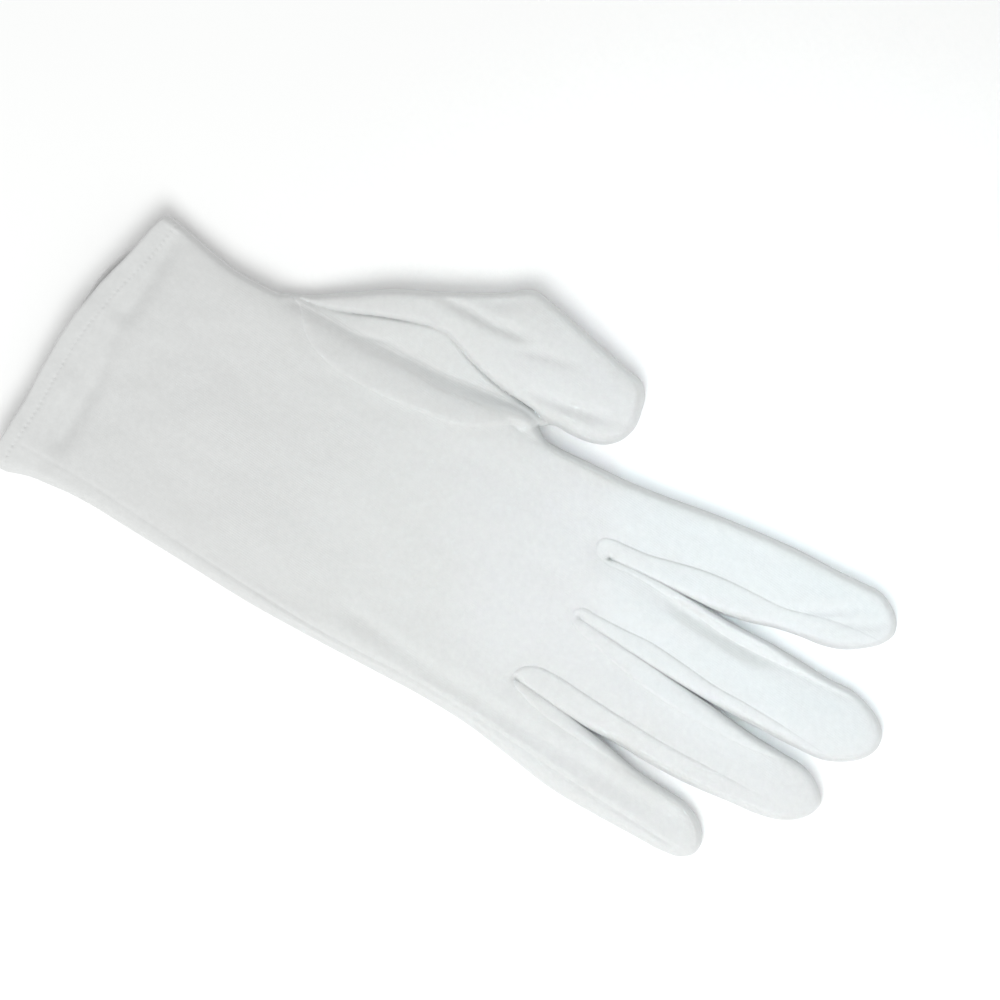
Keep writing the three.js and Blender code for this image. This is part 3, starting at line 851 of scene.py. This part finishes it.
def floor_material(name, colour):
    """A plain pale studio floor."""
    material = bpy.data.materials.new(name)
    material.use_nodes = True
    tree = material.node_tree
    shader = tree.nodes["Principled BSDF"]
    shader.inputs["Roughness"].default_value = 0.95
    shader.inputs["Specular IOR Level"].default_value = 0.0
    grain = node(tree, "ShaderNodeTexNoise", (-500, 0), Scale=60.0, Detail=2.0)
    tint = node(tree, "ShaderNodeValToRGB", (-300, 0))
    for stop, share in zip(tint.color_ramp.elements, FLOOR_TINTS):
        stop.color = tinted(colour, share)
    tree.links.new(grain.outputs["Fac"], tint.inputs["Fac"])
    tree.links.new(tint.outputs["Color"], shader.inputs["Base Color"])
    return material


# Operators, one for each piece or group of like pieces


def cloth_piece(context, name, nodes=()):
    """One sewn piece of the skin, with its thickness, in the place of its node or nodes."""
    cloth = context.scene.glove_cloth
    verts, faces = skin(cloth)[name]
    material = cotton_material(f"{name} cotton", context.scene.glove_colours.cotton)
    piece = add_piece(f"{name}_cloth", *with_thickness(verts, faces, cloth.thickness / MM), material)
    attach(piece, BODY)
    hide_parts(*(nodes or (name,)))
    return piece


class GLOVE_OT_trank(bpy.types.Operator):
    """Add the palm and back, cut in one, with the sleeves of the four fingers"""

    bl_idname = "glove.trank"
    bl_label = "Trank"

    def execute(self, context):
        cloth_piece(context, "trank", ("trank_palm", "trank_side", "trank_back"))
        return {"FINISHED"}


class GLOVE_OT_thumb(bpy.types.Operator):
    """Add the thumb piece, bent forward beside the palm"""

    bl_idname = "glove.thumb"
    bl_label = "Thumb"

    def execute(self, context):
        cloth_piece(context, "thumb")
        return {"FINISHED"}


class GLOVE_OT_fourchettes(bpy.types.Operator):
    """Add the forked strips between the fingers"""

    bl_idname = "glove.fourchettes"
    bl_label = "Side strips"

    def execute(self, context):
        for name in STRIPS:
            cloth_piece(context, name)
        return {"FINISHED"}


class GLOVE_OT_hem(bpy.types.Operator):
    """Add the turned hem round the wrist opening and its row of stitches"""

    bl_idname = "glove.hem"
    bl_label = "Hem"

    def execute(self, context):
        cloth = context.scene.glove_cloth
        colours = context.scene.glove_colours
        cotton = cotton_material("hem cotton", colours.cotton)
        piece = add_piece("cuff_hem_cloth", *hem_mesh(cloth), cotton)
        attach(piece, BODY)
        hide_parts("cuff_hem")
        thread = cotton_material("hem thread", colours.thread, wale=0.2)
        stitches = add_piece("hem_stitches", *stitch_mesh(cloth), thread)
        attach(stitches, BODY)
        return {"FINISHED"}


# The hem's section, in shares of its width from its edge: where it is stitched, the flat part, and the
# inner face back to the stitches.
HEM_MEAN_WIDTH = 4.7
STITCHED_PART = (1.0, 0.95, 0.9, 0.84)
FLAT_PART = (0.75, 0.18)
INNER_PART = (0.18, 0.9)
# A hem stitch: its length as a share of the pitch, and in millimetres its thickness, how deep it sits and
# how much deeper at its ends. Its girth tapers by a share.
STITCH_SHARE = 0.55
STITCH_WIDTH = 0.13
STITCH_DEPTH = 0.12
STITCH_END_DEPTH = 0.2
STITCH_TAPER = 0.9
STITCH_AHEAD = 0.3  # how far ahead a stitch's direction is read


def hem_ring(cloth, share, depth=0.0):
    """A closed ring round the wrist, over the upper cloth and back under it, at a share of the hem's width
    from its edge and some way inside its face."""
    over = (1 - share) * hem_edge(HEM_EDGE) + share * HEM_LINE
    back = ((1 - share) * hem_edge(UNDER_HEM_EDGE) + share * HEM_LINE)[-2:0:-1]
    z = np.concatenate([upper_height(over, cloth), under_height(back, cloth)])
    x, y = np.concatenate([over, back]).T
    fold = cloth.fold / MM
    # Inside its face the ring shrinks towards the fold's height and the middle of the wrist.
    z = fold + (z - fold) * (1 - depth / np.where(z > fold, z.max() - fold, fold - z.min()))
    middle, half = (over[0, 1] + over[-1, 1]) / 2, (over[0, 1] - over[-1, 1]) / 2
    return np.column_stack([x, middle + (y - middle) * (1 - depth / half), z])


def hem_mesh(cloth, corner_steps=7, flat_steps=7):
    """The doubled cloth of the hem, rolled over at its edge."""
    thickness = 2 * cloth.thickness / MM
    radius = thickness / 2
    section = [(share, 0.0) for share in (*STITCHED_PART, *np.linspace(*FLAT_PART, flat_steps + 1))]
    for turn in np.linspace(0, math.pi, corner_steps + 1)[1:-1]:
        section.append((radius * (1 - math.sin(turn)) / HEM_MEAN_WIDTH, radius * (1 - math.cos(turn))))
    section += [(share, thickness) for share in (*np.linspace(*INNER_PART, flat_steps + 1), 1.0)]
    rings = [hem_ring(cloth, share, depth) for share, depth in section]
    size, count = len(rings[0]), len(rings)
    faces = []
    for r in range(count):
        low, high = r * size, (r + 1) % count * size
        faces += [(low + i, high + i, high + (i + 1) % size, low + (i + 1) % size) for i in range(size)]
    sharp = [(r * size + i, r * size + (i + 1) % size) for r in (0, count - 1) for i in range(size)]
    return np.concatenate(rings), faces, sharp


def stitch(centre, ahead, up, half, sides, rings):
    """One stitch's vertices, ring after ring, thinner and deeper towards both ends."""
    across = np.cross(ahead, up)
    verts = []
    for t in np.linspace(-1, 1, rings):
        girth = STITCH_WIDTH * math.sqrt(1 - STITCH_TAPER * t * t)
        for turn in 2 * math.pi * np.arange(sides) / sides:
            lift = girth * math.sin(turn) - STITCH_DEPTH - STITCH_END_DEPTH * t * t
            verts.append(centre + ahead * t * half + across * girth * math.cos(turn) + up * lift)
    return verts


def stitch_mesh(cloth, sides=6, rings=5):
    """Short stitches along the hem's stitched line, between the holes of the needle."""
    points = hem_ring(cloth, 1.0)
    run = np.roll(points, -1, axis=0) - np.roll(points, 1, axis=0)
    out = np.column_stack([np.zeros(len(run)), run[:, 2], -run[:, 1]])
    out /= np.linalg.norm(out, axis=1)[:, None]
    along = np.concatenate([[0], np.cumsum(np.linalg.norm(np.diff(points, axis=0), axis=1))])
    pitch = cloth.stitch / MM
    half = STITCH_SHARE * pitch / 2
    verts, faces = [], []
    for start in np.arange(pitch / 2, along[-1] - pitch / 2, pitch):
        centre, ahead, up = (
            np.array([np.interp(start + shift, along, table[:, k]) for k in range(3)])
            for table, shift in ((points, 0), (points, STITCH_AHEAD), (out, 0))
        )
        ahead = (ahead - centre) / np.linalg.norm(ahead - centre)
        up -= ahead * up.dot(ahead)
        up /= np.linalg.norm(up)
        first = len(verts)
        verts += stitch(centre, ahead, up, half, sides, rings)
        for r in range(rings - 1):
            for s in range(sides):
                a, b = first + r * sides + s, first + r * sides + (s + 1) % sides
                faces.append((a, b, b + sides, a + sides))
        faces.append(tuple(first + s for s in reversed(range(sides))))
        faces.append(tuple(first + (rings - 1) * sides + s for s in range(sides)))
    return np.array(verts), faces, []


# The stage. The picture is 1000 pixels wide, and the plan lies in it turned and shifted.
PIXELS = 1000
PIXEL = 0.2819 * MM  # size of a pixel on the table
CUFF_PIXEL = (85, 336)  # the plan's zero in the picture
PICTURE_TURN = math.radians(33.9)  # the fingers point this far below the picture's right
CAMERA_HEIGHT = 1.5
SENSOR_WIDTH = 36
FLOOR_HALF = 1.5
FLOOR_DROP = 0.0002  # keeps the floor clear of the cloth
# Each soft lamp's name, its place and what it points at in metres, its width, its spread in degrees, its
# power and its colour.
LAMPS = (
    ("key", (0.17, -0.48, 0.84), (0, 0, 0), 0.6, 180, 5.44, (0.97, 0.99, 0.98)),
    ("pool", (0.05, 0.1, 1.7), (0.08, 0.04, 0), 0.12, 9.5, 0.0294, (0.727, 0.931, 0.998)),
)
AROUND_COLOUR = (1.0, 1.0, 0.995, 1)
AROUND_STRENGTH = 0.64


def lay_floor(scene):
    """The pale floor under the glove."""
    mesh = bpy.data.meshes.new("floor")
    corners = [(x * FLOOR_HALF, y * FLOOR_HALF, 0) for x, y in ((-1, -1), (1, -1), (1, 1), (-1, 1))]
    mesh.from_pydata(corners, [], [(0, 1, 2, 3)])
    mesh.materials.append(floor_material("pale floor", scene.glove_colours.floor))
    floor = bpy.data.objects.new("floor", mesh)
    floor.location.z = -FLOOR_DROP
    scene.collection.objects.link(floor)


def set_camera(scene):
    """The camera straight above, turned so that the fingers point down to the right."""
    right = Vector((math.cos(PICTURE_TURN), math.sin(PICTURE_TURN), 0))
    up = Vector((-right.y, right.x, 0))
    across = (PIXELS / 2 - CUFF_PIXEL[0]) * PIXEL
    down = (PIXELS / 2 - CUFF_PIXEL[1]) * PIXEL
    centre = Vector(origin()) + right * across - up * down
    lens = bpy.data.cameras.new("camera")
    lens.sensor_width = SENSOR_WIDTH
    lens.lens = SENSOR_WIDTH * CAMERA_HEIGHT / (PIXELS * PIXEL)
    camera = bpy.data.objects.new("camera", lens)
    turn = Matrix((right, up, right.cross(up))).transposed().to_4x4()
    camera.matrix_world = Matrix.Translation(centre + Vector((0, 0, CAMERA_HEIGHT))) @ turn
    scene.collection.objects.link(camera)
    scene.camera = camera


def set_light(scene):
    """Soft light from all round and the lamps."""
    world = bpy.data.worlds.new("studio")
    world.use_nodes = True
    around = world.node_tree.nodes["Background"]
    around.inputs["Color"].default_value = AROUND_COLOUR
    around.inputs["Strength"].default_value = AROUND_STRENGTH
    scene.world = world
    for name, place, aim, width, spread, power, colour in LAMPS:
        data = bpy.data.lights.new(name, "AREA")
        data.shape = "DISK"
        data.size = width
        data.spread = math.radians(spread)
        data.energy = power
        data.color = colour
        light = bpy.data.objects.new(name, data)
        light.location = Vector(place)
        light.rotation_euler = (Vector(aim) - light.location).to_track_quat("-Z", "Y").to_euler()
        scene.collection.objects.link(light)
    scene.view_settings.view_transform = "Standard"
    scene.view_settings.look = "None"


class GLOVE_OT_stage(bpy.types.Operator):
    """Add the floor, the camera straight above and the soft light"""

    bl_idname = "glove.stage"
    bl_label = "Stage"

    def execute(self, context):
        lay_floor(context.scene)
        set_camera(context.scene)
        set_light(context.scene)
        return {"FINISHED"}


class GLOVE_PT_panel(bpy.types.Panel):
    """Lists the glove's pieces and its settings"""

    bl_idname = "GLOVE_PT_panel"
    bl_label = "Cotton glove"
    bl_space_type = "VIEW_3D"
    bl_region_type = "UI"
    bl_category = "Glove"

    def draw(self, context):
        column = self.layout.column()
        for operator in OPERATORS:
            column.operator(operator.bl_idname)
        for settings in (context.scene.glove_cloth, context.scene.glove_colours):
            for name in settings.__annotations__:
                column.prop(settings, name)


OPERATORS = (GLOVE_OT_trank, GLOVE_OT_thumb, GLOVE_OT_fourchettes, GLOVE_OT_hem, GLOVE_OT_stage)
CLASSES = (GloveClothSettings, GloveColourSettings, *OPERATORS, GLOVE_PT_panel)


def register():
    for kind in CLASSES:
        bpy.utils.register_class(kind)
    bpy.types.Scene.glove_cloth = bpy.props.PointerProperty(type=GloveClothSettings)
    bpy.types.Scene.glove_colours = bpy.props.PointerProperty(type=GloveColourSettings)


def unregister():
    del bpy.types.Scene.glove_colours
    del bpy.types.Scene.glove_cloth
    for kind in reversed(CLASSES):
        bpy.utils.unregister_class(kind)


def main():
    register()
    bpy.ops.glove.trank()
    bpy.ops.glove.thumb()
    bpy.ops.glove.fourchettes()
    bpy.ops.glove.hem()
    bpy.ops.glove.stage()


if __name__ == "__main__":
    main()
